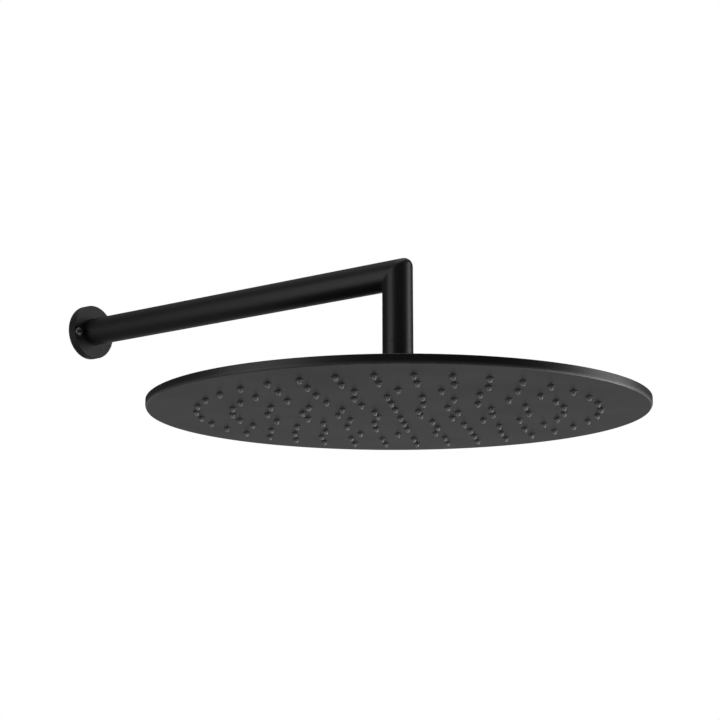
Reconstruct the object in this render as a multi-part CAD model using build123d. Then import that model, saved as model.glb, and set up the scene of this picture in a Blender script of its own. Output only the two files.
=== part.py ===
from build123d import *
import os
from math import cos, hypot, pi, radians, sin

# Rain shower head on a mitred wall arm.
# Frame: the origin is the centre of the wall flange's back, the wall is the plane Y = 0,
# the arm runs out along -Y, and +Z is up. Millimetres.

# Arm tube
tube_diameter = 25.0
tube_wall = 2.0
arm_length = 360.0
post_drop = 57.0
corner_radius = 5.0

# Wall flange and its screws
flange_diameter = 50.0
flange_thickness = 8.0
flange_edge_chamfer = 0.8
screw_circle_diameter = 40.5
screw_line_turn = 9.0
screw_diameter = 4.0
screw_shank_diameter = 3.4
screw_hole_diameter = 4.5
screw_length = 11.0
screw_head_diameter = 7.6
screw_head_height = 2.6
screw_socket_flats = 2.5
screw_socket_depth = 1.3

# Thread nipples, G 1/2, one in each end of the tube
nipple_diameter = 20.955
nipple_bore = 15.0
nipple_seated_length = 14.0
nipple_thread_length = 14.0
nipple_wall_thread_length = 10.0
nipple_relief_diameter = 19.2
nipple_relief_width = 1.5

# Union with its ball
washer_thickness = 2.0
washer_bore = 12.0
union_floor = 3.0
union_neck_diameter = 10.0
union_neck_length = 12.0
union_bore = 7.0
ball_diameter = 16.0
ball_foot_below_centre = 5.6
ball_height_over_face = 26.0

# Ring and seal that bear on the ball: angles are counted from the upward axis
slip_ring_angle = 62.0
slip_ring_seat_width = 3.0
slip_ring_wall = 1.4
seal_angle = 125.0
seal_seat_width = 2.0

# Collar on the socket boss
collar_diameter = 32.0
collar_seat_width = 4.0
collar_skirt = 12.0
boss_diameter = 25.0
boss_bore = 19.0
boss_floor_height = 13.0
boss_rim_below_ball = 1.0
head_inlet_bore = 12.0

# Head
head_diameter = 400.0
head_height = 7.0
head_edge_bevel = 1.5
sheet_thickness = 1.2
mat_thickness = 1.5

# Nozzles: six rings, each with one nozzle on the arm's line
nozzle_ring_first_radius = 20.0
nozzle_ring_pitch = 28.0
nozzle_ring_counts = (6, 12, 18, 20, 30, 36)
nozzle_length = 3.4
nozzle_root_diameter = 5.6
nozzle_tip_diameter = 3.4
nozzle_sides = 6

# Clearances
braze_clearance = 0.02
bore_clearance = 0.05
ball_clearance = 0.05
pan_clearance = 0.2
nozzle_clearance = 0.1
overrun = 1.0

# Levels and radii worked out from the sizes above
tube_radius = tube_diameter / 2
tube_bore_radius = tube_radius - tube_wall
nipple_radius = nipple_diameter / 2
nipple_seat_radius = tube_bore_radius - braze_clearance
socket_radius = nipple_radius + bore_clearance
tube_end_z = -post_drop
nipple_end_z = tube_end_z - nipple_thread_length
socket_floor_z = nipple_end_z - washer_thickness
union_foot_z = socket_floor_z - union_floor
ball_z = union_foot_z - union_neck_length
face_z = ball_z - ball_height_over_face
ball_radius = ball_diameter / 2
head_radius = head_diameter / 2
pan_inner_radius = head_radius - sheet_thickness
mat_foot_z = face_z + sheet_thickness
mat_top_z = mat_foot_z + mat_thickness
head_top_z = face_z + head_height
plate_radius = pan_inner_radius - pan_clearance
post_axis = Pos(0, -arm_length, 0)
arm_corner = (0, -arm_length, 0)
screw_line = Rot(0, -screw_line_turn, 0)
screw_places = [screw_line * Pos(side * screw_circle_diameter / 2, 0, 0) for side in (-1, 1)]


def turned_about_z(points):
    """A solid turned about the Z axis from a closed outline of (radius, height) points."""
    return revolve(make_face(Polyline(*[(r, 0, z) for r, z in points], close=True)), Axis.Z)


def turned(points):
    """The same, turned about the post's axis."""
    return post_axis * turned_about_z(points)


def barrel(outer, inner, low, high):
    """A plain round sleeve about the post's axis."""
    return turned([(inner, low), (outer, low), (outer, high), (inner, high)])


def tangent_strip(distance, angle, width):
    """The two ends of a straight strip that touches a circle about the ball's centre.

    distance is the circle's radius, angle is where it touches, counted from the upward axis.
    The first point returned is the one nearer to the axis for an angle under 90 degrees.
    """
    turn = radians(angle)
    touch = (distance * sin(turn), ball_z + distance * cos(turn))
    along = (cos(turn) * width / 2, -sin(turn) * width / 2)
    near = (touch[0] - along[0], touch[1] - along[1])
    far = (touch[0] + along[0], touch[1] + along[1])
    return near, far


def mitred_rod(radius, rounding, ends):
    """A round rod along the arm and down the post, with its outer corner rounded off.

    ends is how far the rod runs past the wall plane and below the tube's lower end.
    """
    path = Polyline((0, ends, 0), arm_corner, (0, -arm_length, tube_end_z - ends))
    section = Plane(origin=(0, ends, 0), x_dir=(1, 0, 0), z_dir=(0, -1, 0)) * Circle(radius)
    rod = sweep(section, path=path, transition=Transition.RIGHT)
    reach = radius - rounding
    corner = Pos(0, -arm_length - reach - radius, reach + radius)
    block = corner * Box(4 * radius, 2 * radius, 2 * radius)
    round_over = Pos(0, -arm_length - reach, reach) * Rot(0, 90, 0) * Cylinder(rounding, 5 * radius)
    return rod - (block - round_over)


def shower_arm():
    """The mitred tube, from the wall plane to the foot of the post."""
    outer = mitred_rod(tube_radius, corner_radius, 0)
    bore = mitred_rod(tube_bore_radius, corner_radius - tube_wall, overrun)
    return outer - bore


def wall_flange():
    """The round cover plate at the wall, with its tube bore and screw holes."""
    outward = Rot(90, 0, 0)
    disc = outward * Cylinder(
        flange_diameter / 2, flange_thickness, align=(Align.CENTER, Align.CENTER, Align.MIN))
    front_edge = disc.edges().filter_by(GeomType.CIRCLE).sort_by(Axis.Y)[0]
    disc = chamfer(front_edge, flange_edge_chamfer)
    through = 3 * flange_thickness
    bore = outward * Cylinder(tube_radius + bore_clearance, through)
    hole = outward * Cylinder(screw_hole_diameter / 2, through)
    for place in screw_places:
        disc -= place * hole
    return disc - bore


def flange_screws():
    """The two flange screws: head on the flange's face, plain shank through it, thread behind it."""
    outline = [
        (0, -screw_length),
        (screw_diameter / 2, -screw_length),
        (screw_diameter / 2, -flange_thickness),
        (screw_shank_diameter / 2, -flange_thickness),
        (screw_shank_diameter / 2, 0),
        (screw_head_diameter / 2, 0),
        (screw_head_diameter / 2, screw_head_height),
        (0, screw_head_height),
    ]
    screw = turned_about_z(outline)
    flats = RegularPolygon(screw_socket_flats / 2, 6, major_radius=False)
    socket = Pos(0, 0, screw_head_height - screw_socket_depth) * extrude(flats, screw_socket_depth + overrun)
    screw = Pos(0, -flange_thickness, 0) * Rot(90, 0, 0) * (screw - socket)
    return Compound([place * screw for place in screw_places])


def barrel_nipple(thread_length):
    """A nipple seated below height 0, with its thread above and a run-out groove between."""
    return turned_about_z([
        (nipple_bore / 2, -nipple_seated_length),
        (nipple_seat_radius, -nipple_seated_length),
        (nipple_seat_radius, -nipple_relief_width),
        (nipple_relief_diameter / 2, -nipple_relief_width),
        (nipple_relief_diameter / 2, 0),
        (nipple_radius, 0),
        (nipple_radius, thread_length),
        (nipple_bore / 2, thread_length),
    ])


def thread_nipples():
    """The two nipples: one stands out of the wall end, one out of the post's foot."""
    wall = Rot(-90, 0, 0) * barrel_nipple(nipple_wall_thread_length)
    lower = Pos(0, -arm_length, tube_end_z) * Rot(180, 0, 0) * barrel_nipple(nipple_thread_length)
    return Compound([wall, lower])


def filter_washer():
    """The rubber washer under the lower nipple."""
    return barrel(nipple_radius - bore_clearance, washer_bore / 2, socket_floor_z, nipple_end_z)


def ball_union():
    """The union: a socket over the nipple, a neck, and the bored ball."""
    body = turned([
        (0, union_foot_z),
        (tube_radius, union_foot_z),
        (tube_radius, tube_end_z),
        (socket_radius, tube_end_z),
        (socket_radius, socket_floor_z),
        (0, socket_floor_z),
    ])
    neck = barrel(union_neck_diameter / 2, 0, ball_z, union_foot_z)
    ball = Pos(0, -arm_length, ball_z) * Sphere(ball_radius)
    foot = ball_z - ball_foot_below_centre
    below_foot = barrel(ball_radius, 0, foot - ball_radius, foot)
    bore = barrel(union_bore / 2, 0, foot - overrun, socket_floor_z + overrun)
    return body + neck + (ball - below_foot) - bore


def slip_ring_section():
    """The ring's outline: a cone seat on the ball, flat ends and a plain outside."""
    near, far = tangent_strip(ball_radius + ball_clearance, slip_ring_angle, slip_ring_seat_width)
    outer = far[0] + slip_ring_wall
    return [near, far, (outer, far[1]), (outer, near[1])]


def ball_slip_ring():
    """The ring that runs on the upper side of the ball."""
    return turned(slip_ring_section())


def ball_seat_seal():
    """The rubber ring in the foot of the socket, with a cone seat for the ball."""
    upper, lower = tangent_strip(ball_radius + ball_clearance, seal_angle, seal_seat_width)
    outer = boss_bore / 2 - bore_clearance
    floor = face_z + boss_floor_height
    return turned([(lower[0], floor), (outer, floor), (outer, upper[1]), upper, lower])


def swivel_collar():
    """The collar that screws over the boss and bears on the slip ring's outer edge."""
    edge = slip_ring_section()[-1]
    reach = hypot(edge[0], edge[1] - ball_z) + ball_clearance
    lip, seat_end = tangent_strip(reach, slip_ring_angle, collar_seat_width)
    thread = boss_diameter / 2 + bore_clearance
    shoulder = ball_z - boss_rim_below_ball + bore_clearance
    foot = shoulder - collar_skirt
    return turned([
        (thread, foot),
        (collar_diameter / 2, foot),
        (collar_diameter / 2, lip[1]),
        lip,
        seat_end,
        (seat_end[0], shoulder),
        (thread, shoulder),
    ])


def head_back_plate():
    """The pressed back with its turned-down edge, and the socket boss welded on it."""
    boss_top = ball_z - boss_rim_below_ball
    floor = face_z + boss_floor_height
    underside = head_top_z - sheet_thickness
    return turned([
        (head_inlet_bore / 2, underside),
        (plate_radius - sheet_thickness, underside),
        (plate_radius - sheet_thickness, mat_top_z),
        (plate_radius, mat_top_z),
        (plate_radius, head_top_z),
        (boss_diameter / 2, head_top_z),
        (boss_diameter / 2, boss_top),
        (boss_bore / 2, boss_top),
        (boss_bore / 2, floor),
        (head_inlet_bore / 2, floor),
    ])


def nozzle_places():
    """The centre of every nozzle, ring by ring, counted from the arm's line."""
    places = []
    for ring, count in enumerate(nozzle_ring_counts):
        radius = nozzle_ring_first_radius + ring * nozzle_ring_pitch
        for step in range(count):
            turn = 2 * pi * step / count
            places.append((radius * sin(turn), -arm_length - radius * cos(turn)))
    return places


def tapered_nozzle():
    """One nozzle with flat sides, from its root on the sheet at height 0 down to its tip."""
    corner_turns = [2 * pi * step / nozzle_sides for step in range(nozzle_sides)]
    foot = -sheet_thickness - nozzle_length
    root = [(nozzle_root_diameter / 2 * cos(t), nozzle_root_diameter / 2 * sin(t), 0) for t in corner_turns]
    tip = [(nozzle_tip_diameter / 2 * cos(t), nozzle_tip_diameter / 2 * sin(t), foot) for t in corner_turns]
    outlines = [root, tip]
    outlines += [[root[i - 1], root[i], tip[i], tip[i - 1]] for i in range(nozzle_sides)]
    return Solid(Shell([make_face(Polyline(*outline, close=True)).face() for outline in outlines]))


def nozzle_mat():
    """The silicone mat: a sheet on the face, with a tapered nozzle through every hole."""
    sheet = Pos(0, -arm_length, mat_foot_z) * Cylinder(
        plate_radius, mat_thickness, align=(Align.CENTER, Align.CENTER, Align.MIN))
    nozzle = tapered_nozzle()
    return sheet + [Pos(x, y, mat_foot_z) * nozzle for x, y in nozzle_places()]


def spray_face_pan():
    """The visible pan: flat face, bevelled edge and rim, with a hole for every nozzle."""
    pan = turned([
        (0, face_z),
        (head_radius, face_z),
        (head_radius, head_top_z),
        (pan_inner_radius, head_top_z),
        (pan_inner_radius, mat_foot_z),
        (0, mat_foot_z),
    ])
    lower_edge = pan.edges().filter_by(GeomType.CIRCLE).group_by(Axis.Z)[0]
    pan = chamfer(lower_edge, head_edge_bevel)
    hole = RegularPolygon(nozzle_root_diameter / 2 + nozzle_clearance, nozzle_sides)
    holes = Sketch() + [Pos(x, y) * hole for x, y in nozzle_places()]
    return pan - Pos(0, 0, face_z - overrun) * extrude(holes, sheet_thickness + 2 * overrun)


pieces = {
    "wall_flange": wall_flange(),
    "flange_screws": flange_screws(),
    "thread_nipples": thread_nipples(),
    "shower_arm": shower_arm(),
    "filter_washer": filter_washer(),
    "ball_union": ball_union(),
    "ball_slip_ring": ball_slip_ring(),
    "ball_seat_seal": ball_seat_seal(),
    "swivel_collar": swivel_collar(),
    "head_back_plate": head_back_plate(),
    "nozzle_mat": nozzle_mat(),
    "spray_face_pan": spray_face_pan(),
}

os.makedirs("parts", exist_ok=True)
for name, piece in pieces.items():
    export_step(piece, f"parts/{name}.step")
    print(name, round(piece.volume), "mm3")
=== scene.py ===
"""Looks of a rain shower head on a mitred wall arm.

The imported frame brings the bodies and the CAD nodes. Turned and swept meshes stand for the plain
solids, Geometry Nodes repeat the nozzles, the holes and the screws, and every surface gets a
procedural finish. The pieces' sizes are in millimetres and become metres where a mesh is made.
Finishes and studio are in metres.
"""

import logging
from dataclasses import dataclass, field
from enum import Enum
from math import acos, asin, cos, pi, radians, sin, tan
from typing import Any, Optional, Protocol, Sequence, Union

import bmesh
import bpy
from mathutils import Matrix, Vector


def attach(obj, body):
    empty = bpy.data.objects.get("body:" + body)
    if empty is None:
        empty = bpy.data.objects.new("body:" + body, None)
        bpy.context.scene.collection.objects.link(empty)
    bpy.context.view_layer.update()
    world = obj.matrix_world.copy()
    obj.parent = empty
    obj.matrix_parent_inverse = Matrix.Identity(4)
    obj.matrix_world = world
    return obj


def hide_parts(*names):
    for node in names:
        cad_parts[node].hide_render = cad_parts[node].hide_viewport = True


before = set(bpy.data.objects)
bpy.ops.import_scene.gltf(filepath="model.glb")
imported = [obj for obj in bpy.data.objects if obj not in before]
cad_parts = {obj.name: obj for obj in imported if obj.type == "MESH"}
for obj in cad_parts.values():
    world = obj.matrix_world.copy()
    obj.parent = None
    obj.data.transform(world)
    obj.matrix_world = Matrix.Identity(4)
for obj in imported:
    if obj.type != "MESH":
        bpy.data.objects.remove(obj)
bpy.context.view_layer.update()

log = logging.getLogger("shower_head")

MM = 0.001
WHITE = (1.0, 1.0, 1.0, 1.0)
# What a noise texture gives on average
NOISE_MEAN = 0.5
# The vertex layer that says how much paler a place is, for wear and a painted edge highlight
EDGE_LAYER = "edge"
# How soon the paleness over a rounding, for wear and a painted highlight, comes to its full
# strength
WEAR_AND_HIGHLIGHT_SPREAD = 1.6
# The radius in millimetres below which a corner is on the axis
ON_AXIS = 1e-6
# The distance in metres below which two points are one
SAME_PLACE = 1e-7

Colour = tuple[float, float, float]
Place = tuple[float, float, float]
Band = tuple[float, float]
OutlinePoint = tuple[float, float]


class Body(Enum):
    """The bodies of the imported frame."""

    ARM = "arm"
    HEAD = "head"


class Slot(Enum):
    """The record's material slots."""

    BLACK_COAT = "black_coat"
    UNION_COAT = "union_coat"
    SCREW_STEEL = "screw_steel"
    NIPPLE_BRASS = "nipple_brass"
    SEAL_RUBBER = "seal_rubber"
    RING_PLASTIC = "ring_plastic"
    NOZZLE_SILICONE = "nozzle_silicone"


class Run(Enum):
    """The stretches of the arm that a row of its sweep can lie on."""

    ARM = "along the arm, counted from the wall"
    ENTER = "just before the bend"
    BEND = "in the bend, from 0 to 1"
    LEAVE = "just after the bend"
    POST = "along the post, counted up from its foot"


# Node trees


class Value:
    """A socket of a node tree. Python operators on it add Math nodes."""

    def __init__(self, graph: "Graph", socket: bpy.types.NodeSocket) -> None:
        """Keeps the socket and the graph that it belongs to."""
        self.graph = graph
        self.socket = socket

    def _math(self, operation: str, first: "Number", second: "Number") -> "Value":
        """Adds one Math node and gives its result."""
        return self.graph.add("ShaderNodeMath", {"operation": operation}, {0: first, 1: second})

    def __add__(self, other: "Number") -> "Value":
        """This value plus another."""
        return self._math("ADD", self, other)

    def __radd__(self, other: "Number") -> "Value":
        """Another value plus this one."""
        return self._math("ADD", other, self)

    def __sub__(self, other: "Number") -> "Value":
        """This value less another."""
        return self._math("SUBTRACT", self, other)

    def __rsub__(self, other: "Number") -> "Value":
        """Another value less this one."""
        return self._math("SUBTRACT", other, self)

    def __mul__(self, other: "Number") -> "Value":
        """This value times another."""
        return self._math("MULTIPLY", self, other)

    def __rmul__(self, other: "Number") -> "Value":
        """Another value times this one."""
        return self._math("MULTIPLY", other, self)

    def at_least(self, other: "Number") -> "Value":
        """The larger of this value and another."""
        return self._math("MAXIMUM", self, other)


Number = Union[Value, float]


class Graph:
    """Adds nodes to one shader, world or geometry tree."""

    def __init__(self, tree: bpy.types.NodeTree) -> None:
        """Keeps the tree."""
        self.tree = tree

    def add(self, kind: str, settings: Optional[dict[str, Any]] = None,
            inputs: Optional[dict[Union[int, str], Any]] = None,
            output: Union[int, str] = 0) -> Value:
        """Adds one node of any type.

        Args:
            kind: The node's type.
            settings: Its settings, which are set first.
            inputs: The values or links of its sockets. A list feeds one socket several links.
            output: Which output is wanted.

        Returns:
            That output.
        """
        node = self.tree.nodes.new(kind)
        for name, setting in (settings or {}).items():
            setattr(node, name, setting)
        for key, given in (inputs or {}).items():
            for item in given if isinstance(given, list) else [given]:
                self.feed(node.inputs[key], item)
        return Value(self, node.outputs[output])

    def feed(self, socket: bpy.types.NodeSocket, item: Any) -> None:
        """Gives a socket a link or a plain value.

        Args:
            socket: The input to feed.
            item: A Value to link, or a plain value to set.
        """
        if isinstance(item, Value):
            self.tree.links.new(item.socket, socket)
        else:
            socket.default_value = item

    def noise(self, place: Value, scale: float, detail: float = 2.0, rough: float = 0.5) -> Value:
        """A noise texture, its scale in features for each metre."""
        return self.add("ShaderNodeTexNoise", {"normalize": True},
                        {"Vector": place, "Scale": scale, "Detail": detail, "Roughness": rough})

    def between(self, value: Value, low: float, high: float) -> Value:
        """Eases a value from 0 at low to 1 at high."""
        return self.add("ShaderNodeMapRange", {"interpolation_type": "SMOOTHSTEP", "clamp": True},
                        {"Value": value, "From Min": low, "From Max": high})

    def part(self, vector: Value, axis: str) -> Value:
        """One axis of a vector."""
        return self.add("ShaderNodeSeparateXYZ", None, {"Vector": vector}, output=axis)

    def ray(self, kind: str) -> Value:
        """1 for a ray of one kind, else 0."""
        return self.add("ShaderNodeLightPath", output=f"Is {kind} Ray")

    def glow(self, strength: float) -> Value:
        """A shader that gives off plain white light."""
        return self.add("ShaderNodeEmission", None, {"Color": WHITE, "Strength": strength})

    def mixed(self, first: Union[Value, Colour], second: Union[Value, Colour],
              share: Number) -> Value:
        """Mixes two colours.

        Args:
            first: The colour at share 0.
            second: The colour at share 1.
            share: How much of the second colour.

        Returns:
            The mixed colour.
        """
        pair = [tone if isinstance(tone, Value) else (*tone, 1.0) for tone in (first, second)]
        return self.add("ShaderNodeMix", {"data_type": "RGBA", "clamp_factor": True},
                        {0: share, 6: pair[0], 7: pair[1]}, output=2)


# Finishes


@dataclass(frozen=True)
class Finish:
    """A procedural finish. Each kind fills in its own pattern."""

    name: str
    colour: Colour
    roughness: float

    def material(self) -> bpy.types.Material:
        """Builds the material.

        Returns:
            A new node material.
        """
        material = bpy.data.materials.new(self.name)
        material.use_nodes = True
        material.diffuse_color = (*self.colour, 1.0)
        graph = Graph(material.node_tree)
        shader = material.node_tree.nodes["Principled BSDF"]
        place = graph.add("ShaderNodeTexCoord", output="Object")
        self.dress(graph, shader, place)
        return material

    def dress(self, graph: Graph, shader: bpy.types.ShaderNode, place: Value) -> None:
        """Sets the shader's sockets, in each kind's own way."""
        raise NotImplementedError

    @staticmethod
    def relief(graph: Graph, shader: bpy.types.ShaderNode, height: Value, depth: float,
               strength: float) -> None:
        """Feeds the shader's normal from a pattern whose step from 0 to 1 is depth metres high."""
        graph.feed(shader.inputs["Normal"], graph.add(
            "ShaderNodeBump", None, {"Strength": strength, "Distance": depth, "Height": height}))


@dataclass(frozen=True)
class PowderCoat(Finish):
    """Matt powder coat: fine grain over a soft orange peel, paler on rounded edges as worn coat and
    painted highlight.
    """

    # The paler colour of rounded edges, for worn coat and a painted highlight
    wear_and_highlight_tone: Colour = (0.125, 0.125, 0.127)
    grain: float = 2600.0
    peel: float = 420.0
    clouds: float = 16.0
    patches: float = 90.0
    patch_band: Band = (0.42, 0.7)
    least_wear_and_highlight: float = 0.7
    fleck_gain: float = 1.7
    fleck_band: Band = (0.5, 0.85)
    cloud_gloss: float = 0.10
    grain_gloss: float = 0.08
    wear_and_highlight_gloss: float = 0.05
    grain_share: float = 0.65
    depth: float = 0.00004
    strength: float = 0.35

    def dress(self, graph: Graph, shader: bpy.types.ShaderNode, place: Value) -> None:
        """Grain and peel in the relief, clouds in the gloss, a paler line on the edges that is part
        wear, part painted highlight.

        Args:
            graph: The material's graph.
            shader: The Principled shader.
            place: Object coordinates, in metres.
        """
        grain = graph.noise(place, self.grain, rough=0.6)
        peel = graph.noise(place, self.peel, detail=1.0)
        clouds = graph.noise(place, self.clouds, detail=3.0, rough=0.55)
        edge = graph.add("ShaderNodeAttribute", {"attribute_name": EDGE_LAYER}, output="Fac")
        patches = graph.between(graph.noise(place, self.patches, detail=3.0), *self.patch_band)
        paler = edge * (self.least_wear_and_highlight + patches * (1.0 - self.least_wear_and_highlight))
        pale = tuple(self.fleck_gain * part for part in self.colour)
        flecked = graph.mixed(self.colour, pale, graph.between(grain, *self.fleck_band))
        # painted highlight: rounded edges are mixed towards a paler colour, partly as worn coat
        graph.feed(shader.inputs["Base Color"], graph.mixed(flecked, self.wear_and_highlight_tone, paler))
        gloss = (self.roughness + (clouds - NOISE_MEAN) * self.cloud_gloss
                 + (grain - NOISE_MEAN) * self.grain_gloss - paler * self.wear_and_highlight_gloss)
        graph.feed(shader.inputs["Roughness"], gloss)
        height = grain * self.grain_share + peel * (1.0 - self.grain_share)
        self.relief(graph, shader, height, self.depth, self.strength)


@dataclass(frozen=True)
class NozzleSilicone(Finish):
    """Dark silicone rubber, paler towards the tip as painted light standing in for light from below
    on the tips.
    """

    # Painted light: the paler colour that the lower part of each nozzle takes, for light from below
    painted_tip_light: Colour = (0.42, 0.42, 0.415)
    tip_light_start: float = -0.1145
    tip_light_end: float = -0.1162
    patches: float = 700.0
    least_tip_light: float = 0.7
    patch_tip_light: float = 0.4
    patch_gloss: float = 0.14
    grain: float = 3200.0
    depth: float = 0.00003
    strength: float = 0.25

    def dress(self, graph: Graph, shader: bpy.types.ShaderNode, place: Value) -> None:
        """The painted tip light follows the height, broken up by noise.

        Args:
            graph: The material's graph.
            shader: The Principled shader.
            place: Object coordinates, in metres.
        """
        patches = graph.noise(place, self.patches, detail=3.0, rough=0.6)
        # painted light: paler towards the tip, by height alone
        painted_light_by_height = graph.between(graph.part(place, "Z"), self.tip_light_start, self.tip_light_end)
        painted_tip_light = painted_light_by_height * (self.least_tip_light + patches * self.patch_tip_light)
        graph.feed(shader.inputs["Base Color"], graph.mixed(self.colour, self.painted_tip_light, painted_tip_light))
        gloss = self.roughness + (patches - NOISE_MEAN) * self.patch_gloss
        graph.feed(shader.inputs["Roughness"], gloss)
        self.relief(graph, shader, graph.noise(place, self.grain), self.depth, self.strength)


@dataclass(frozen=True)
class TurnedMetal(Finish):
    """Machined metal: fine tool lines round the turning axis, and a soft tarnish."""

    tarnish: Colour
    lines: float = 5200.0
    across: str = "Y"
    wobble: float = 240.0
    wobble_turn: float = 6.0
    stain: float = 130.0
    stain_band: Band = (0.45, 0.75)
    line_gloss: float = 0.03
    stain_gloss: float = 0.12
    depth: float = 0.000006
    strength: float = 0.3

    def dress(self, graph: Graph, shader: bpy.types.ShaderNode, place: Value) -> None:
        """Tool lines in the relief and the gloss, tarnish in the colour.

        Args:
            graph: The material's graph.
            shader: The Principled shader.
            place: Object coordinates, in metres.
        """
        shader.inputs["Metallic"].default_value = 1.0
        wobble = graph.noise(place, self.wobble) * self.wobble_turn
        turn = graph.part(place, self.across) * self.lines + wobble
        lines = graph.add("ShaderNodeMath", {"operation": "SINE"}, {0: turn})
        stain = graph.noise(place, self.stain, detail=4.0, rough=0.6)
        stain = graph.between(stain, *self.stain_band)
        graph.feed(shader.inputs["Base Color"], graph.mixed(self.colour, self.tarnish, stain))
        gloss = self.roughness + lines * self.line_gloss + stain * self.stain_gloss
        graph.feed(shader.inputs["Roughness"], gloss)
        self.relief(graph, shader, lines * 0.5 + 0.5, self.depth, self.strength)


@dataclass(frozen=True)
class MouldedPart(Finish):
    """Moulded rubber or plastic: a fine mould grain with slight colour and gloss changes."""

    grain: float = 2200.0
    slow: float = 60.0
    worn_gain: float = 1.35
    slow_gloss: float = 0.12
    grain_gloss: float = 0.06
    depth: float = 0.00003
    strength: float = 0.25

    def dress(self, graph: Graph, shader: bpy.types.ShaderNode, place: Value) -> None:
        """Mould grain in the relief, slow changes in the colour and the gloss.

        Args:
            graph: The material's graph.
            shader: The Principled shader.
            place: Object coordinates, in metres.
        """
        grain = graph.noise(place, self.grain)
        slow = graph.noise(place, self.slow, detail=3.0)
        paler = tuple(min(1.0, self.worn_gain * part) for part in self.colour)
        graph.feed(shader.inputs["Base Color"], graph.mixed(self.colour, paler, slow))
        gloss = (self.roughness + (slow - NOISE_MEAN) * self.slow_gloss
                 + (grain - NOISE_MEAN) * self.grain_gloss)
        graph.feed(shader.inputs["Roughness"], gloss)
        self.relief(graph, shader, grain, self.depth, self.strength)


@dataclass
class Finishes:
    """The materials of the object, one for each slot of the record."""

    made: dict[Slot, bpy.types.Material] = field(default_factory=dict)

    def build(self) -> None:
        """Makes every material."""
        kinds = {
            Slot.BLACK_COAT: PowderCoat("matt_black_coat", (0.0095, 0.0095, 0.0098), 0.39),
            Slot.UNION_COAT: PowderCoat("union_black_coat", (0.0095, 0.0095, 0.0098), 0.385),
            Slot.SCREW_STEEL: TurnedMetal("dark_screw_steel", (0.17, 0.17, 0.17), 0.5,
                                          tarnish=(0.10, 0.10, 0.10)),
            Slot.NIPPLE_BRASS: TurnedMetal("nipple_brass", (0.62, 0.43, 0.18), 0.28,
                                           tarnish=(0.36, 0.23, 0.09)),
            Slot.SEAL_RUBBER: MouldedPart("seal_rubber", (0.018, 0.018, 0.019), 0.72),
            Slot.RING_PLASTIC: MouldedPart("ring_plastic", (0.60, 0.58, 0.52), 0.42),
            Slot.NOZZLE_SILICONE: NozzleSilicone("nozzle_silicone", (0.10, 0.10, 0.10), 0.75),
        }
        for slot, finish in kinds.items():
            self.made[slot] = finish.material()

    def __getitem__(self, slot: Slot) -> bpy.types.Material:
        """The material of a slot."""
        return self.made[slot]


# Meshes


class RingForm(Protocol):
    """What gives a turned ring a form other than a plain circle."""

    def radius_at(self, angle: float, height: float) -> float:
        """The ring's radius at one angle and height."""
        ...


@dataclass(frozen=True)
class Thread:
    """A right-handed outside thread from one height to another, with a chamfer at its free end."""

    radius: float
    depth: float
    pitch: float
    start: float
    end: float
    lead_in: float = 1.2
    rows_in_turn: int = 9
    flank_slope: float = 2.6
    crest_land: float = 0.15

    def radius_at(self, angle: float, height: float) -> float:
        """The thread's radius at one angle and height.

        Args:
            angle: The angle about the axis, in radians.
            height: The height along the axis.

        Returns:
            The radius, from root to crest.
        """
        phase = (height / self.pitch - angle / (2 * pi)) % 1.0
        flank = min(1.0, max(0.0, self.flank_slope * abs(phase - 0.5) - self.crest_land))
        crest = self.radius - self.depth * flank
        room = abs(self.end - height)
        return min(crest, self.radius - max(0.0, self.lead_in - room))

    def rows(self) -> list["Corner"]:
        """The rings that carry the thread.

        Returns:
            Corners from the start to the end.
        """
        count = max(2, round(abs(self.end - self.start) / self.pitch * self.rows_in_turn))
        step = (self.end - self.start) / count
        return [Corner(self.radius, self.start + step * row, form=self) for row in range(count + 1)]


@dataclass(frozen=True)
class HexSocket:
    """A hexagonal socket."""

    flats: float

    def radius_at(self, angle: float, height: float) -> float:
        """The hexagon's radius at one angle, the same at every height."""
        return self.flats / 2 / cos((angle + pi / 6) % (pi / 3) - pi / 6)


@dataclass(frozen=True)
class Corner:
    """A corner of a turned outline.

    soft rounds it and form replaces its plain circle. The last two fields say how much paler its
    own ring is and how much paler the middle of its rounding gets, for wear and a painted edge
    highlight.
    """

    radius: float
    height: float
    soft: float = 0.0
    form: Optional[RingForm] = None
    edge: float = 0.0
    wear_and_highlight: float = 0.35


def softened(outline: Sequence[Corner], steps: int = 6, hold: float = 0.2) -> list[Corner]:
    """Rounds the corners of a closed outline.

    Args:
        outline: The corners in order.
        steps: How many straight steps a rounding has.
        hold: How far past a rounding a further ring keeps the flat side flat.

    Returns:
        The corners with each rounding written out.
    """
    rounded: list[Corner] = []
    for index, corner in enumerate(outline):
        if corner.soft <= 0:
            rounded.append(corner)
            continue
        here = Vector((corner.radius, corner.height))
        sides = [Vector((other.radius, other.height)) - here
                 for other in (outline[index - 1], outline[(index + 1) % len(outline)])]
        half = sides[0].angle(sides[1]) / 2
        ways = [side.normalized() for side in sides]
        reach = corner.soft / tan(half)
        centre = here + (ways[0] + ways[1]).normalized() * corner.soft / sin(half)
        if sides[0].length > 2 * (reach + hold):
            rounded.append(Corner(*(here + ways[0] * (reach + hold))))
        spokes = [here + way * reach - centre for way in ways]
        sweep = spokes[0].angle(spokes[1])
        for step in range(steps + 1):
            part = step / steps
            spoke = spokes[0] * sin((1 - part) * sweep) + spokes[1] * sin(part * sweep)
            # Roundings grow paler towards their middle, partly as wear, partly as a painted
            # highlight
            paler = corner.wear_and_highlight * min(1.0, WEAR_AND_HIGHLIGHT_SPREAD * sin(pi * part))
            rounded.append(Corner(*(centre + spoke / sin(sweep)), edge=paler))
        if sides[1].length > 2 * (reach + hold):
            rounded.append(Corner(*(here + ways[1] * (reach + hold))))
    return rounded


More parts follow.
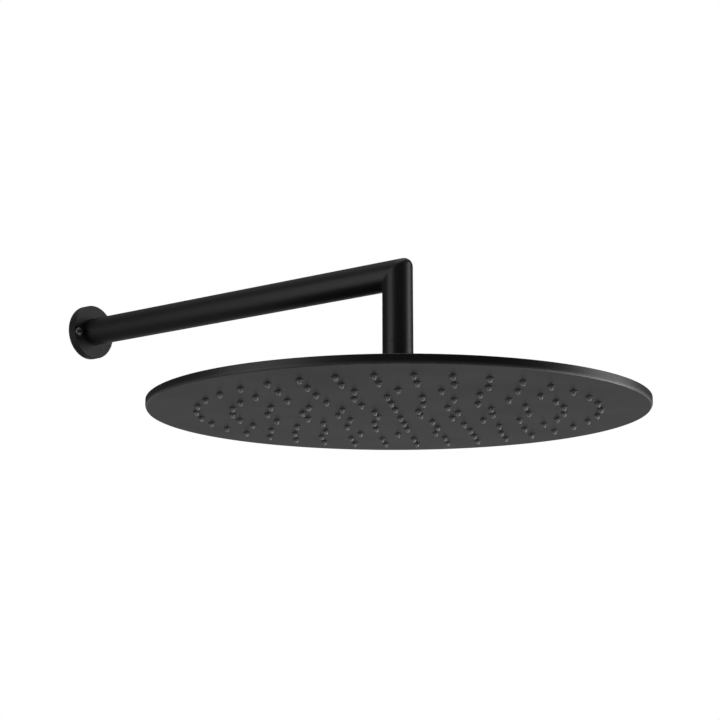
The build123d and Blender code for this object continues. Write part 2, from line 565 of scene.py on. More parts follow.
def skinned(rings: Sequence[Sequence[Vector]], edges: Sequence[float]) -> bmesh.types.BMesh:
    """Joins rings of points into one closed shell, the last ring to the first.

    Args:
        rings: Points in metres. A ring of one point is a pole.
        edges: How much paler each ring is, from 0 to 1, for wear and a painted edge highlight.

    Returns:
        The shell, with its normals outwards.
    """
    shell = bmesh.new()
    layer = shell.verts.layers.float.new(EDGE_LAYER)
    loops = []
    for ring, edge in zip(rings, edges):
        loop = [shell.verts.new(point) for point in ring]
        for vertex in loop:
            vertex[layer] = edge
        loops.append(loop)
    for first, second in zip(loops, loops[1:] + loops[:1]):
        for step in range(max(len(first), len(second))):
            around = [first[step % len(first)], first[(step + 1) % len(first)],
                      second[(step + 1) % len(second)], second[step % len(second)]]
            corners = list(dict.fromkeys(around))
            if len(corners) > 2:
                shell.faces.new(corners)
    bmesh.ops.remove_doubles(shell, verts=shell.verts, dist=SAME_PLACE)
    bmesh.ops.recalc_face_normals(shell, faces=shell.faces)
    return shell


@dataclass(frozen=True)
class Lathe:
    """Turns outlines about one axis. place brings millimetres about Z to metres in the frame."""

    place: Matrix
    segments: int

    def turn(self, outline: Sequence[Corner]) -> bmesh.types.BMesh:
        """Turns a closed outline.

        Args:
            outline: Its corners, where a radius of 0 is on the axis.

        Returns:
            The turned shell.
        """
        rings, edges = [], []
        for corner in softened(outline):
            rings.append(self.ring(corner))
            edges.append(corner.edge)
        return skinned(rings, edges)

    def ring(self, corner: Corner) -> list[Vector]:
        """The points of one ring.

        Args:
            corner: The corner that is turned.

        Returns:
            Its points in metres, or one point where it is on the axis.
        """
        if corner.form is None and corner.radius < ON_AXIS:
            return [self.place @ Vector((0, 0, corner.height))]
        points = []
        for step in range(self.segments):
            angle = 2 * pi * step / self.segments
            radius = corner.form.radius_at(angle, corner.height) if corner.form else corner.radius
            point = Vector((radius * cos(angle), radius * sin(angle), corner.height))
            points.append(self.place @ point)
        return points


def to_wall(segments: int) -> Lathe:
    """A lathe about the wall flange's axis whose heights run out from the wall."""
    return Lathe(Matrix.Rotation(pi / 2, 4, "X") @ Matrix.Scale(MM, 4), segments)


def to_head(reach: float, segments: int) -> Lathe:
    """A lathe about the head's axis whose heights are the frame's own."""
    return Lathe(Matrix.Translation((0, -reach * MM, 0)) @ Matrix.Scale(MM, 4), segments)


def shade(mesh: bpy.types.Mesh, sharp: float = 32.0) -> None:
    """Smooths a mesh except over sharp edges.

    Args:
        mesh: The mesh to shade.
        sharp: The angle past which an edge stays sharp, in degrees.
    """
    mesh.polygons.foreach_set("use_smooth", [True] * len(mesh.polygons))
    mesh.set_sharp_from_angle(angle=radians(sharp))
    mesh.update()


def new_piece(name: str, shell: bmesh.types.BMesh,
              material: bpy.types.Material) -> bpy.types.Object:
    """Makes an object at the origin from a shell.

    Args:
        name: The piece's name.
        shell: Its mesh, in metres in the frame. It is freed.
        material: Its finish.

    Returns:
        The linked object.
    """
    mesh = bpy.data.meshes.new(name)
    shell.to_mesh(mesh)
    shell.free()
    mesh.materials.append(material)
    shade(mesh)
    piece = bpy.data.objects.new(name, mesh)
    bpy.context.scene.collection.objects.link(piece)
    return piece


def hand_over(piece: bpy.types.Object, body: Body, slot: Slot, *nodes: str) -> None:
    """Ties a finished piece to the frame and reports it.

    Args:
        piece: The piece.
        body: The body that it rides on.
        slot: The record's material slot; not used.
        nodes: The CAD nodes that it stands for.
    """
    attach(piece, body.value)
    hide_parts(*nodes)
    log.info("%s rides on %s with %d faces", piece.name, body.value, len(piece.data.polygons))


# Geometry Nodes


class Repeater:
    """A Geometry Nodes tree with named inputs, run once on a piece and turned into a plain mesh."""

    def __init__(self, name: str) -> None:
        """Makes an empty tree with a geometry input and a geometry output.

        Args:
            name: The tree's name.
        """
        self.tree = bpy.data.node_groups.new(name, "GeometryNodeTree")
        self.graph = Graph(self.tree)
        self.settings: dict[str, Any] = {}
        for name, way in (("Body", "INPUT"), ("Result", "OUTPUT")):
            self.tree.interface.new_socket(name, in_out=way, socket_type="NodeSocketGeometry")
        self.group_input = self.tree.nodes.new("NodeGroupInput")
        self.group_output = self.tree.nodes.new("NodeGroupOutput")

    def named(self, name: str, kind: str, setting: Any) -> Value:
        """Adds a named input.

        Args:
            name: The input's name.
            kind: Its socket type, without the common first word.
            setting: What the modifier gives it.

        Returns:
            The input inside the tree.
        """
        socket = self.tree.interface.new_socket(name, in_out="INPUT",
                                                socket_type=f"NodeSocket{kind}")
        self.settings[socket.identifier] = setting
        return Value(self.graph, self.group_input.outputs[name])

    @property
    def body(self) -> Value:
        """The piece's own mesh inside the tree."""
        return Value(self.graph, self.group_input.outputs["Body"])

    def copies(self, points: Value, shape: Value) -> Value:
        """Puts a copy of a shape on every point, as real geometry.

        Args:
            points: The points.
            shape: The geometry to copy.

        Returns:
            The realized copies.
        """
        spread = self.graph.add("GeometryNodeInstanceOnPoints", None,
                                {"Points": points, "Instance": shape})
        return self.graph.add("GeometryNodeRealizeInstances", None, {"Geometry": spread})

    def copies_of(self, label: str, model: bpy.types.Object, points: Value) -> Value:
        """Puts a copy of a model's mesh on every point.

        Args:
            label: The name of the tree's input for the model.
            model: The object to copy.
            points: The points.

        Returns:
            The realized copies.
        """
        shape = self.graph.add("GeometryNodeObjectInfo", None,
                               {"Object": self.named(label, "Object", model)}, output="Geometry")
        return self.copies(points, shape)

    def drilled(self, points: Value, radius: float, length: float, sides: int,
                tilt: float = 0.0) -> Value:
        """Cuts a round hole through the piece at every point.

        Args:
            points: The middles of the holes.
            radius: The radius of a hole.
            length: How long a cutter is, enough to pass right through.
            sides: How many sides a cutter has.
            tilt: How far a cutter is turned about X from upright, in radians.

        Returns:
            The piece with its holes.
        """
        cutter = self.graph.add("GeometryNodeMeshCylinder", None, {
            "Vertices": sides,
            "Radius": self.named("Hole radius", "Float", radius * MM),
            "Depth": self.named("Hole depth", "Float", length * MM)})
        laid = self.graph.add("GeometryNodeTransform", None,
                              {"Geometry": cutter, "Rotation": (tilt, 0, 0)})
        return self.graph.add("GeometryNodeMeshBoolean", {"operation": "DIFFERENCE"}, {
            "Mesh 1": self.body, "Mesh 2": self.copies(points, laid)})

    def finish(self, result: Value, material: bpy.types.Material) -> None:
        """Ends the tree in Realize Instances and Set Material.

        Args:
            result: The geometry to put out.
            material: The finish that it gets.
        """
        finish = self.named("Finish", "Material", material)
        real = self.graph.add("GeometryNodeRealizeInstances", None, {"Geometry": result})
        done = self.graph.add("GeometryNodeSetMaterial", None,
                              {"Geometry": real, "Material": finish})
        self.graph.feed(self.group_output.inputs[0], done)

    def apply(self, piece: bpy.types.Object) -> None:
        """Runs the tree on a piece and keeps the result as its mesh.

        Args:
            piece: The piece, whose mesh is the tree's Body.
        """
        modifier = piece.modifiers.new(self.tree.name, "NODES")
        modifier.node_group = self.tree
        for identifier, setting in self.settings.items():
            modifier[identifier] = setting
        depsgraph = bpy.context.evaluated_depsgraph_get()
        mesh = bpy.data.meshes.new_from_object(piece.evaluated_get(depsgraph), depsgraph=depsgraph)
        piece.modifiers.remove(modifier)
        old, piece.data = piece.data, mesh
        bpy.data.meshes.remove(old)
        mesh.name = piece.name
        shade(mesh)


# Sub-assemblies


@dataclass
class WallFlange:
    """The round cover plate at the wall and its two screws."""

    radius: float = 25.0
    thickness: float = 8.0
    bore: float = 12.55
    chamfer: float = 0.8
    hole_radius: float = 2.25
    screw_circle: float = 40.5
    screw_line_turn: float = radians(9.0)
    screw_length: float = 11.0
    shank_radius: float = 1.7
    head_radius: float = 3.8
    head_height: float = 2.6
    head_edge: float = 0.7
    socket_flats: float = 2.5
    socket_depth: float = 1.3
    socket_cone: float = 0.35
    socket_chamfer: float = 0.16
    socket_rim: float = 1.5
    plate_segments: int = 144
    back_edge: float = 0.25
    chamfer_edge: float = 0.3
    bore_edge: float = 0.2
    hole_segments: int = 24
    cutter_length: float = 32.0
    screw_count: int = 2
    screw_segments: int = 24
    thread_radius: float = 2.0
    thread_depth: float = 0.43
    thread_pitch: float = 0.7
    thread_lead_in: float = 0.6
    thread_rows: int = 6
    under_edge: float = 0.15
    dome_start: float = 24.0
    dome_sweep: float = 66.0
    dome_steps: int = 7

    def build(self, finishes: Finishes) -> None:
        """Builds and dresses both pieces.

        Args:
            finishes: The object's materials.
        """
        plate = self.plate(finishes[Slot.BLACK_COAT])
        hand_over(plate, Body.ARM, Slot.BLACK_COAT, "wall_flange")
        screws = self.screws(finishes[Slot.SCREW_STEEL])
        hand_over(screws, Body.ARM, Slot.SCREW_STEEL, "flange_screws")

    def screw_places(self, repeater: Repeater) -> Value:
        """The two screws' points, on a line through the flange's middle, a little off level.

        Args:
            repeater: The tree that needs them.

        Returns:
            The points.
        """
        spacing = repeater.named("Screw circle", "Float", self.screw_circle * MM)
        count = repeater.named("Screws", "Int", self.screw_count)
        graph = repeater.graph
        start = graph.add("ShaderNodeCombineXYZ", None, {"X": spacing * -0.5})
        step = graph.add("ShaderNodeCombineXYZ", None, {"X": spacing})
        level = graph.add("GeometryNodeMeshLine", {"mode": "OFFSET", "count_mode": "TOTAL"},
                          {"Count": count, "Start Location": start, "Offset": step})
        return graph.add("GeometryNodeTransform", None, {
            "Geometry": level, "Rotation": (0, -self.screw_line_turn, 0)})

    def plate(self, material: bpy.types.Material) -> bpy.types.Object:
        """The plate with its chamfered front edge, tube bore and screw holes.

        Args:
            material: Its finish.

        Returns:
            The piece.
        """
        front, side = self.thickness, self.radius
        outline = [
            Corner(self.bore, 0),
            Corner(side, 0, self.back_edge),
            Corner(side, front - self.chamfer, self.chamfer_edge),
            Corner(side - self.chamfer, front, self.chamfer_edge),
            Corner(self.bore, front, self.bore_edge),
        ]
        shell = to_wall(self.plate_segments).turn(outline)
        piece = new_piece("flange_plate", shell, material)
        repeater = Repeater("screw_holes")
        drilled = repeater.drilled(self.screw_places(repeater), self.hole_radius,
                                   self.cutter_length, self.hole_segments, pi / 2)
        repeater.finish(drilled, material)
        repeater.apply(piece)
        return piece

    def dome(self, seat: float, top: float) -> list[Corner]:
        """The rounded top of a screw's head, from its crown to its edge.

        Args:
            seat: The height of the head's underside.
            top: The height of its crown.

        Returns:
            The dome's corners.
        """
        turns = [radians(self.dome_start + self.dome_sweep * step / self.dome_steps)
                 for step in range(self.dome_steps + 1)]
        edge = seat + self.head_edge
        rise = top - edge
        return [Corner(self.head_radius * sin(turn), edge + rise * cos(turn) / cos(turns[0]))
                for turn in turns]

    def screws(self, material: bpy.types.Material) -> bpy.types.Object:
        """Both screws, copied from one: socket head, plain shank and machine thread.

        Args:
            material: Their finish.

        Returns:
            The piece.
        """
        seat, top = self.thickness, self.thickness + self.head_height
        tip = seat - self.screw_length
        socket, half = HexSocket(self.socket_flats), self.socket_flats / 2
        thread = Thread(self.thread_radius, self.thread_depth, self.thread_pitch, 0.0, tip,
                        self.thread_lead_in, self.thread_rows)
        outline = [
            Corner(0, top - self.socket_depth - self.socket_cone),
            Corner(half, top - self.socket_depth, form=socket),
            Corner(half, top - self.socket_chamfer, form=socket),
            Corner(self.socket_rim, top),
            *self.dome(seat, top),
            Corner(self.head_radius, seat, self.under_edge),
            Corner(self.shank_radius, seat),
            Corner(self.shank_radius, 0.0),
            *thread.rows(),
            Corner(0, tip),
        ]
        shell = to_wall(self.screw_segments).turn(outline)
        model = new_piece("screw_model", shell, material)
        piece = bpy.data.objects.new("wall_screws", bpy.data.meshes.new("wall_screws"))
        bpy.context.scene.collection.objects.link(piece)
        repeater = Repeater("screw_pair")
        pair = repeater.copies_of("Screw", model, self.screw_places(repeater))
        repeater.finish(pair, material)
        repeater.apply(piece)
        bpy.data.objects.remove(model)
        return piece


@dataclass
class WallArm:
    """The mitred tube from the wall to the foot of the post, and its two thread nipples."""

    radius: float = 12.5
    bore: float = 10.5
    reach: float = 360.0
    drop: float = 57.0
    outer_rounding: float = 5.0
    inner_rounding: float = 0.6
    end_bevel: float = 0.12
    columns: int = 96
    bend_rows: int = 12
    bend_margin: float = 0.4
    arm_rows: tuple[float, ...] = (40.0, 120.0, 200.0, 280.0, 340.0)
    post_rows: tuple[float, ...] = (40.0, 20.0)
    nipple_radius: float = 10.4775
    nipple_bore: float = 7.5
    nipple_seated: float = 14.0
    nipple_length: float = 14.0
    nipple_wall_length: float = 10.0
    nipple_slack: float = 0.02
    nipple_edge: float = 0.4
    nipple_segments: int = 72
    groove_radius: float = 9.6
    groove_width: float = 1.5
    thread_depth: float = 1.162
    thread_pitch: float = 1.814

    def build(self, finishes: Finishes) -> None:
        """Builds and dresses both pieces.

        Args:
            finishes: The object's materials.
        """
        tube = new_piece("arm_tube", self.tube(), finishes[Slot.BLACK_COAT])
        hand_over(tube, Body.ARM, Slot.BLACK_COAT, "shower_arm")
        nipples = new_piece("thread_nipple_pair", self.nipples(), finishes[Slot.NIPPLE_BRASS])
        hand_over(nipples, Body.ARM, Slot.NIPPLE_BRASS, "thread_nipples")

    def point(self, radius: float, angle: float, run: Run, along: float) -> Vector:
        """A point of the tube's wall.

        Args:
            radius: The wall's radius.
            angle: The angle round the section, a quarter turn being the outside of the bend.
            run: The stretch that the row is on.
            along: Where on that stretch.

        Returns:
            The point in metres.
        """
        across, outward = radius * cos(angle), radius * sin(angle)
        share = (outward / self.radius + 1) / 2
        soft = self.inner_rounding + (self.outer_rounding - self.inner_rounding) * share ** 2
        soft = min(soft, self.outer_rounding)
        centre_y, centre_z = soft - self.reach - outward, outward - soft
        turn = along * pi / 2
        y, z = {
            Run.ARM: (-along, outward),
            Run.ENTER: (centre_y + along, outward),
            Run.BEND: (centre_y - soft * sin(turn), centre_z + soft * cos(turn)),
            Run.LEAVE: (-self.reach - outward, centre_z - along),
            Run.POST: (-self.reach - outward, along - self.drop),
        }[run]
        return Vector((across, y, z)) * MM

    def tube(self) -> bmesh.types.BMesh:
        """The tube's wall, outside and bore, as one shell.

        Returns:
            The shell.
        """
        bend = [(Run.BEND, step / self.bend_rows) for step in range(self.bend_rows + 1)]
        spine = [*((Run.ARM, along) for along in self.arm_rows),
                 (Run.ENTER, self.bend_margin), *bend, (Run.LEAVE, self.bend_margin),
                 *((Run.POST, along) for along in self.post_rows)]
        slim = self.radius - self.end_bevel
        rows = [(slim, Run.ARM, 0.0), (self.radius, Run.ARM, self.end_bevel)]
        rows += [(self.radius, run, along) for run, along in spine]
        rows += [(self.radius, Run.POST, self.end_bevel), (slim, Run.POST, 0.0)]
        back = [(Run.POST, 0.0), *reversed(spine), (Run.ARM, 0.0)]
        rows += [(self.bore, run, along) for run, along in back]
        turns = [2 * pi * step / self.columns for step in range(self.columns)]
        rings = [[self.point(radius, turn, run, along) for turn in turns]
                 for radius, run, along in rows]
        return skinned(rings, [0.0] * len(rings))

    def nipple(self, length: float) -> list[Corner]:
        """One nipple's outline, seated below height 0 and threaded above it.

        Args:
            length: How far the thread stands out of the tube.

        Returns:
            Its corners.
        """
        seat = self.bore - self.nipple_slack
        thread = Thread(self.nipple_radius, self.thread_depth, self.thread_pitch, 0.0, length)
        return [
            Corner(self.nipple_bore, -self.nipple_seated),
            Corner(seat, -self.nipple_seated),
            Corner(seat, -self.groove_width),
            Corner(self.groove_radius, -self.groove_width),
            *thread.rows(),
            Corner(self.nipple_bore, length, self.nipple_edge),
        ]

    def nipples(self) -> bmesh.types.BMesh:
        """The wall nipple and the lower nipple, each with its thread and run-out groove.

        Returns:
            One mesh of two shells.
        """
        scale = Matrix.Scale(MM, 4)
        wall = Matrix.Rotation(-pi / 2, 4, "X") @ scale
        foot = Matrix.Translation((0, -self.reach * MM, -self.drop * MM))
        foot = foot @ Matrix.Rotation(pi, 4, "X") @ scale
        pair = bmesh.new()
        for place, length in ((wall, self.nipple_wall_length), (foot, self.nipple_length)):
            shell = Lathe(place, self.nipple_segments).turn(self.nipple(length))
            carrier = bpy.data.meshes.new("nipple")
            shell.to_mesh(carrier)
            shell.free()
            pair.from_mesh(carrier)
            bpy.data.meshes.remove(carrier)
        return pair


@dataclass
class BallJoint:
    """The union with its ball under the post, the collar that holds the head, and the rings."""

    reach: float = 360.0
    body_radius: float = 12.5
    body_top: float = -57.0
    body_foot: float = -76.0
    socket_radius: float = 10.528
    socket_floor: float = -73.0
    neck_radius: float = 5.0
    bore: float = 3.5
    ball_radius: float = 8.0
    ball_height: float = -88.0
    ball_foot: float = 5.6
    collar_radius: float = 16.0
    collar_foot: float = -100.95
    collar_shoulder: float = -88.95
    collar_thread: float = 12.55
    collar_lip: OutlinePoint = (8.403, -81.267)
    collar_seat: OutlinePoint = (10.281, -84.799)
    segments: int = 96
    ball_steps: int = 18
    neck_edge: float = 0.8
    body_edge: float = 0.6
    joint_edge: float = 0.12
    thread_edge: float = 0.3
    foot_edge: float = 0.5
    crown_edge: float = 1.4
    lip_edge: float = 0.3

    def build(self, finishes: Finishes) -> None:
        """Builds and dresses union and collar, and dresses the rings that stay as CAD nodes.

        Args:
            finishes: The object's materials.
        """
        lathe = to_head(self.reach, self.segments)
        union = new_piece("union_body", lathe.turn(self.union()), finishes[Slot.UNION_COAT])
        hand_over(union, Body.ARM, Slot.UNION_COAT, "ball_union")
        collar = new_piece("collar_ring", lathe.turn(self.collar()), finishes[Slot.BLACK_COAT])
        hand_over(collar, Body.HEAD, Slot.BLACK_COAT, "swivel_collar")
        rings = {"filter_washer": Slot.SEAL_RUBBER, "ball_slip_ring": Slot.RING_PLASTIC,
                 "ball_seat_seal": Slot.SEAL_RUBBER}
        for name, slot in rings.items():
            self.coat(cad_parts[name], finishes[slot])
            log.info("%s keeps its CAD shape", name)

    @staticmethod
    def coat(node: bpy.types.Object, material: bpy.types.Material) -> None:
        """Gives a CAD node a finish in every material slot.

        Args:
            node: The CAD node's object.
            material: The finish.
        """
        if not node.material_slots:
            node.data.materials.append(material)
        for slot in node.material_slots:
            slot.material = material

    def union(self) -> list[Corner]:
        """The union's outline: bore, ball, neck, body and socket.

        Returns:
            Its corners.
        """
        lowest = acos(-self.ball_foot / self.ball_radius)
        highest = asin(self.neck_radius / self.ball_radius)
        turns = [lowest + (highest - lowest) * step / self.ball_steps
                 for step in range(self.ball_steps + 1)]
        ball = [Corner(self.ball_radius * sin(turn),
                       self.ball_height + self.ball_radius * cos(turn)) for turn in turns]
        return [
            Corner(self.bore, self.ball_height - self.ball_foot),
            *ball,
            Corner(self.neck_radius, self.body_foot, self.neck_edge),
            Corner(self.body_radius, self.body_foot, self.body_edge),
            Corner(self.body_radius, self.body_top, self.joint_edge),
            Corner(self.socket_radius, self.body_top),
            Corner(self.socket_radius, self.socket_floor),
            Corner(self.bore, self.socket_floor),
        ]

    def collar(self) -> list[Corner]:
        """The collar's outline, with a softened top edge and a cone seat inside.

        Returns:
            Its corners.
        """
        return [
            Corner(self.collar_thread, self.collar_foot, self.thread_edge),
            Corner(self.collar_radius, self.collar_foot, self.foot_edge),
            Corner(self.collar_radius, self.collar_lip[1], self.crown_edge),
            Corner(*self.collar_lip, self.lip_edge),
            Corner(*self.collar_seat),
            Corner(self.collar_seat[0], self.collar_shoulder),
            Corner(self.collar_thread, self.collar_shoulder),
        ]


@dataclass
class SprayHead:
    """The thin round head: face pan, back plate with its boss, and the silicone nozzles."""

    reach: float = 360.0
    radius: float = 200.0
    face: float = -114.0
    top: float = -107.0
    sheet: float = 1.2
    lip_radius: float = 4.0
    lip_turn: float = radians(45.0)
    lip_steps: int = 7
    lip_hold: float = 0.3
    rim_edge: float = 0.5
    rim_inner_edge: float = 0.25
    pan_corner: float = 1.0
    plate_radius: float = 198.6
    plate_edge: float = 0.8
    plate_inner_edge: float = 0.4
    mat_thickness: float = 1.5
    inlet_radius: float = 6.0
    boss_radius: float = 12.5
    boss_bore: float = 9.5
    boss_top: float = -89.0
    boss_floor: float = -101.0
    boss_edge: float = 0.4
    boss_bore_edge: float = 0.3
    weld: float = 1.5
    first_ring: float = 20.0
    ring_pitch: float = 28.0
    ring_counts: tuple[int, ...] = (6, 12, 18, 20, 30, 36)
    hole_radius: float = 2.9
    cutter_length: float = 7.2
    nozzle_root: float = 2.75
    nozzle_outline: tuple[OutlinePoint, ...] = (
        (2.75, -0.02), (3.05, -0.02), (3.05, -0.4), (2.75, -0.7), (1.78, -0.85), (1.72, -1.7),
        (1.56, -2.5), (1.2, -3.1), (0.6, -3.4), (0.36, -3.33), (0.3, -2.9), (0.0, -2.9))
    segments: int = 256
    mat_segments: int = 96
    nozzle_segments: int = 12

    def build(self, finishes: Finishes) -> None:
        """Builds and dresses the three pieces.

        Args:
            finishes: The object's materials.
        """
        plate = self.back_plate(finishes[Slot.BLACK_COAT])
        hand_over(plate, Body.HEAD, Slot.BLACK_COAT, "head_back_plate")
        pan = self.pan(finishes[Slot.BLACK_COAT])
        hand_over(pan, Body.HEAD, Slot.BLACK_COAT, "spray_face_pan")
        nozzles = self.nozzles(finishes[Slot.NOZZLE_SILICONE])
        hand_over(nozzles, Body.HEAD, Slot.NOZZLE_SILICONE, "nozzle_mat")

    def nozzle_places(self, repeater: Repeater) -> Value:
        """The nozzles' points: rings of points, each with its first point on the arm's line.

        Args:
            repeater: The tree that needs them.

        Returns:
            The points, at the height of the face.
        """
        graph = repeater.graph
        first = repeater.named("First ring radius", "Float", self.first_ring * MM)
        pitch = repeater.named("Ring pitch", "Float", self.ring_pitch * MM)
        rings = []
        for ring, count in enumerate(self.ring_counts):
            number = repeater.named(f"Nozzles in ring {ring + 1}", "Int", count)
            radius = first + pitch * float(ring)
            rings.append(graph.add("GeometryNodeMeshCircle", {"fill_type": "NONE"},
                                   {"Vertices": number, "Radius": radius}))
        joined = graph.add("GeometryNodeJoinGeometry", None, {"Geometry": rings})
        return graph.add("GeometryNodeTransform", None, {
            "Geometry": joined, "Rotation": (0, 0, -pi / 2),
            "Translation": (0, -self.reach * MM, self.face * MM)})

    def back_plate(self, material: bpy.types.Material) -> bpy.types.Object:
        """The pressed back with its turned-down edge and the boss welded on it.

        Args:
            material: Its finish.

        Returns:
            The piece.
        """
        under = self.top - self.sheet
        mat_top = self.face + self.sheet + self.mat_thickness
        inner = self.plate_radius - self.sheet
        outline = [
            Corner(self.inlet_radius, under),
            Corner(inner, under, self.plate_inner_edge),
            Corner(inner, mat_top),
            Corner(self.plate_radius, mat_top),
            Corner(self.plate_radius, self.top, self.plate_edge),
            Corner(self.boss_radius, self.top, self.weld),
            Corner(self.boss_radius, self.boss_top, self.boss_edge),
            Corner(self.boss_bore, self.boss_top, self.boss_bore_edge),
            Corner(self.boss_bore, self.boss_floor),
            Corner(self.inlet_radius, self.boss_floor),
        ]
        shell = to_head(self.reach, self.segments).turn(outline)
        return new_piece("back_plate", shell, material)

    def lip(self) -> list[Corner]:
        """The rim's lower edge: a rounding up from a crease at the face, palest at the crease, for
        wear and a painted highlight.

        Returns:
            Its corners, from a ring on the face that keeps it flat to the rim.
        """
        middle = self.radius - self.lip_radius
        rise = self.lip_radius * sin(self.lip_turn)
        turns = [self.lip_turn * (1 - step / self.lip_steps) for step in range(self.lip_steps + 1)]
        # painted highlight along the rim's lower edge, partly wear: the rings grow paler towards
        # the crease
        arc = [Corner(middle + self.lip_radius * cos(turn),
                      self.face + rise - self.lip_radius * sin(turn),
                      edge=(turn / self.lip_turn) ** 2) for turn in turns]
        return [Corner(arc[0].radius - self.lip_hold, self.face), *arc]

    def pan(self, material: bpy.types.Material) -> bpy.types.Object:
        """The face and rim, with a rounded lower edge and a hole for every nozzle.

        Args:
            material: Its finish.

        Returns:
            The piece.
        """
        inner, floor = self.radius - self.sheet, self.face + self.sheet
        outline = [
            Corner(0, self.face),
            *self.lip(),
            Corner(self.radius, self.top, self.rim_edge),
            Corner(inner, self.top, self.rim_inner_edge),
            Corner(inner, floor, self.pan_corner),
            Corner(0, floor),
        ]
        shell = to_head(self.reach, self.segments).turn(outline)
        piece = new_piece("face_pan", shell, material)
        repeater = Repeater("nozzle_holes")
        punched = repeater.drilled(self.nozzle_places(repeater), self.hole_radius,
                                   self.cutter_length, self.nozzle_segments)
        repeater.finish(punched, material)
        repeater.apply(piece)
        return piece

    def nozzles(self, material: bpy.types.Material) -> bpy.types.Object:
        """The silicone mat behind the face with a collared nozzle through every hole.

        Args:
            material: Its finish.

        Returns:
            The piece.
        """
        foot = self.face + self.sheet
        roof = foot + self.mat_thickness
        sheet = [Corner(0, foot), Corner(self.plate_radius, foot),
                 Corner(self.plate_radius, roof), Corner(0, roof)]
        shell = to_head(self.reach, self.mat_segments).turn(sheet)
        piece = new_piece("nozzle_set", shell, material)
        outline = [Corner(0, self.sheet), Corner(self.nozzle_root, self.sheet),
                   *(Corner(*point) for point in self.nozzle_outline)]
        shell = Lathe(Matrix.Scale(MM, 4), self.nozzle_segments).turn(outline)
        model = new_piece("nozzle_model", shell, material)
        repeater = Repeater("nozzle_rings")
        copies = repeater.copies_of("Nozzle", model, self.nozzle_places(repeater))
        joined = repeater.graph.add("GeometryNodeJoinGeometry", None,
                                    {"Geometry": [repeater.body, copies]})
        repeater.finish(joined, material)
        repeater.apply(piece)
        bpy.data.objects.remove(model)
        return piece


# Studio


@dataclass(frozen=True)
class Softbox:
    """A large soft lamp that stands round the head and faces it."""

    name: str
    azimuth: float
    height: float
    distance: float
    width: float
    tall: float
    power: float

    def place(self, aim: Vector) -> None:
        """Adds the lamp.

        Args:
            aim: The point that it faces.
        """
        lamp = bpy.data.lights.new(self.name, "AREA")
        lamp.shape = "RECTANGLE"
        lamp.size, lamp.size_y, lamp.energy = self.width, self.tall, self.power
        stand = bpy.data.objects.new(self.name, lamp)
        turn = radians(self.azimuth)
        stand.location = aim + Vector(
            (sin(turn) * self.distance, -cos(turn) * self.distance, self.height))
        stand.rotation_euler = (aim - stand.location).to_track_quat("-Z", "Y").to_euler()
        stand.visible_camera = False
        bpy.context.scene.collection.objects.link(stand)


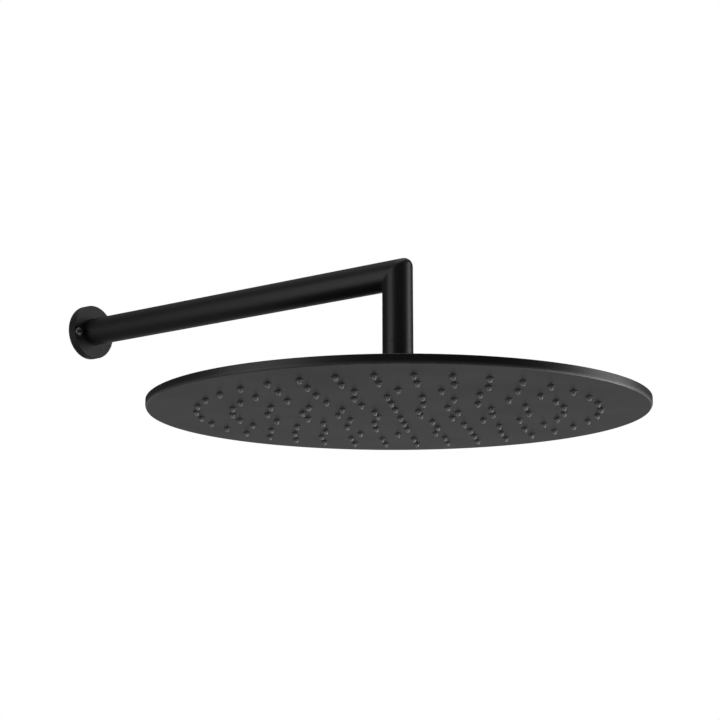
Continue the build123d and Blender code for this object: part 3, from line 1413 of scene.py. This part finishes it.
@dataclass
class Studio:
    """Floor, lamps, surroundings and the camera at the photograph's angle."""

    floor_height: float = -2.2
    floor_half: float = 80.0
    floor_tone: float = 0.8
    near_glow: float = 0.13
    far_glow: float = 0.29
    glow_band: Band = (2.0, 4.5)
    white_share: float = 0.93
    aim: Place = (0.0, -0.3, -0.08)
    fill: float = 0.06
    rear_tone: float = 0.33
    front_tone: float = 0.045
    side_tone: float = 0.015
    top_tone: float = 0.16
    low_band: Band = (-0.06, 0.16)
    rear_band: Band = (0.45, 0.92)
    side_band: Band = (-0.2, 0.4)
    over_band: Band = (0.4, 0.85)
    camera_place: Place = (-1.03833, -1.11439, -0.33393)
    camera_pitch: float = 0.2024
    camera_yaw: float = radians(-52.642)
    lens: float = 81.66
    sensor: float = 36.0
    clip: Band = (0.01, 200.0)
    boxes: tuple[Softbox, ...] = (
        Softbox("right_softbox", 38.0, -0.25, 0.87, 0.55, 1.7, 6.5),
        Softbox("left_softbox", -110.0, -0.1, 1.8, 1.3, 2.6, 12.5),
        Softbox("top_softbox", 0.0, 1.7, 0.02, 1.4, 1.4, 6.2),
        Softbox("low_right_softbox", 60.0, -0.75, 1.6, 0.6, 0.6, 2.4),
    )

    @property
    def away(self) -> Place:
        """The level direction from the camera to the object and on behind it."""
        return (-sin(self.camera_yaw), cos(self.camera_yaw), 0.0)

    def build(self) -> None:
        """Sets up the whole studio."""
        bpy.context.scene.view_settings.view_transform = "Standard"
        self.floor()
        self.surroundings()
        for box in self.boxes:
            box.place(Vector(self.aim))
        self.camera()

    def depth(self, graph: Graph, place: Value) -> Value:
        """How far a place or a direction goes away from the camera."""
        return graph.add("ShaderNodeVectorMath", {"operation": "DOT_PRODUCT"},
                         {0: place, 1: self.away}, output="Value")

    def floor(self) -> None:
        """A plain pale floor, large enough to fill the view."""
        half, height = self.floor_half, self.floor_height
        mesh = bpy.data.meshes.new("studio_floor")
        mesh.from_pydata([(-half, -half, height), (half, -half, height),
                          (half, half, height), (-half, half, height)], [], [(0, 1, 2, 3)])
        mesh.materials.append(self.floor_material())
        floor = bpy.data.objects.new("studio_floor", mesh)
        bpy.context.scene.collection.objects.link(floor)

    def floor_material(self) -> bpy.types.Material:
        """The floor's finish: near white to the camera, a soft glow in reflections, else matt.

        Returns:
            A new node material.
        """
        material = bpy.data.materials.new("pale_floor")
        material.use_nodes = True
        tree = material.node_tree
        tree.nodes.remove(tree.nodes["Principled BSDF"])
        graph = Graph(tree)
        tone = (self.floor_tone,) * 3 + (1.0,)
        matt = graph.add("ShaderNodeBsdfDiffuse", None, {"Color": tone})
        depth = self.depth(graph, graph.add("ShaderNodeTexCoord", output="Object"))
        glow = graph.add("ShaderNodeMixShader", None, {
            0: graph.between(depth, *self.glow_band),
            1: graph.glow(self.near_glow), 2: graph.glow(self.far_glow)})
        dim = graph.add("ShaderNodeMixShader", None, {0: graph.ray("Glossy"), 1: matt, 2: glow})
        seen = graph.ray("Camera") * self.white_share
        both = graph.add("ShaderNodeMixShader", None, {0: seen, 1: dim, 2: graph.glow(1.0)})
        graph.feed(tree.nodes["Material Output"].inputs["Surface"], both)
        return material

    def surroundings(self) -> None:
        """White to the camera, a grey studio in reflections, else a faint fill.

        In reflections it is lighter low down behind the object, and overhead.
        """
        world = bpy.data.worlds.new("studio")
        world.use_nodes = True
        bpy.context.scene.world = world
        graph = Graph(world.node_tree)
        way = graph.add("ShaderNodeTexCoord", output="Generated")
        behind, height = self.depth(graph, way), graph.part(way, "Z")
        low = 1.0 - graph.between(height, *self.low_band)
        rear = graph.between(behind, *self.rear_band) * low * (self.rear_tone - self.front_tone)
        side = graph.between(behind, *self.side_band) * self.side_tone
        over = graph.between(height, *self.over_band) * self.top_tone
        tone = self.front_tone + rear + side + over
        camera = graph.ray("Camera")
        mirrored = graph.ray("Glossy").at_least(graph.ray("Transmission"))
        strength = camera + (1.0 - camera) * (mirrored * tone + (1.0 - mirrored) * self.fill)
        sky = world.node_tree.nodes["Background"]
        sky.inputs["Color"].default_value = WHITE
        graph.feed(sky.inputs["Strength"], strength)

    def camera(self) -> None:
        """The camera at the photograph's angle, without shift or depth of field."""
        lens = bpy.data.cameras.new("photo_camera")
        lens.sensor_width, lens.lens = self.sensor, self.lens
        lens.clip_start, lens.clip_end = self.clip
        stand = bpy.data.objects.new("photo_camera", lens)
        stand.location = self.camera_place
        stand.rotation_euler = (pi / 2 + self.camera_pitch, 0.0, self.camera_yaw)
        bpy.context.scene.collection.objects.link(stand)
        bpy.context.scene.camera = stand


def main() -> None:
    """Builds the object's pieces in order, then the studio."""
    logging.basicConfig(level=logging.INFO, format="%(name)s: %(message)s")
    finishes = Finishes()
    finishes.build()
    for assembly in (WallFlange(), WallArm(), BallJoint(), SprayHead()):
        assembly.build(finishes)
    Studio().build()


if __name__ == "__main__":
    main()
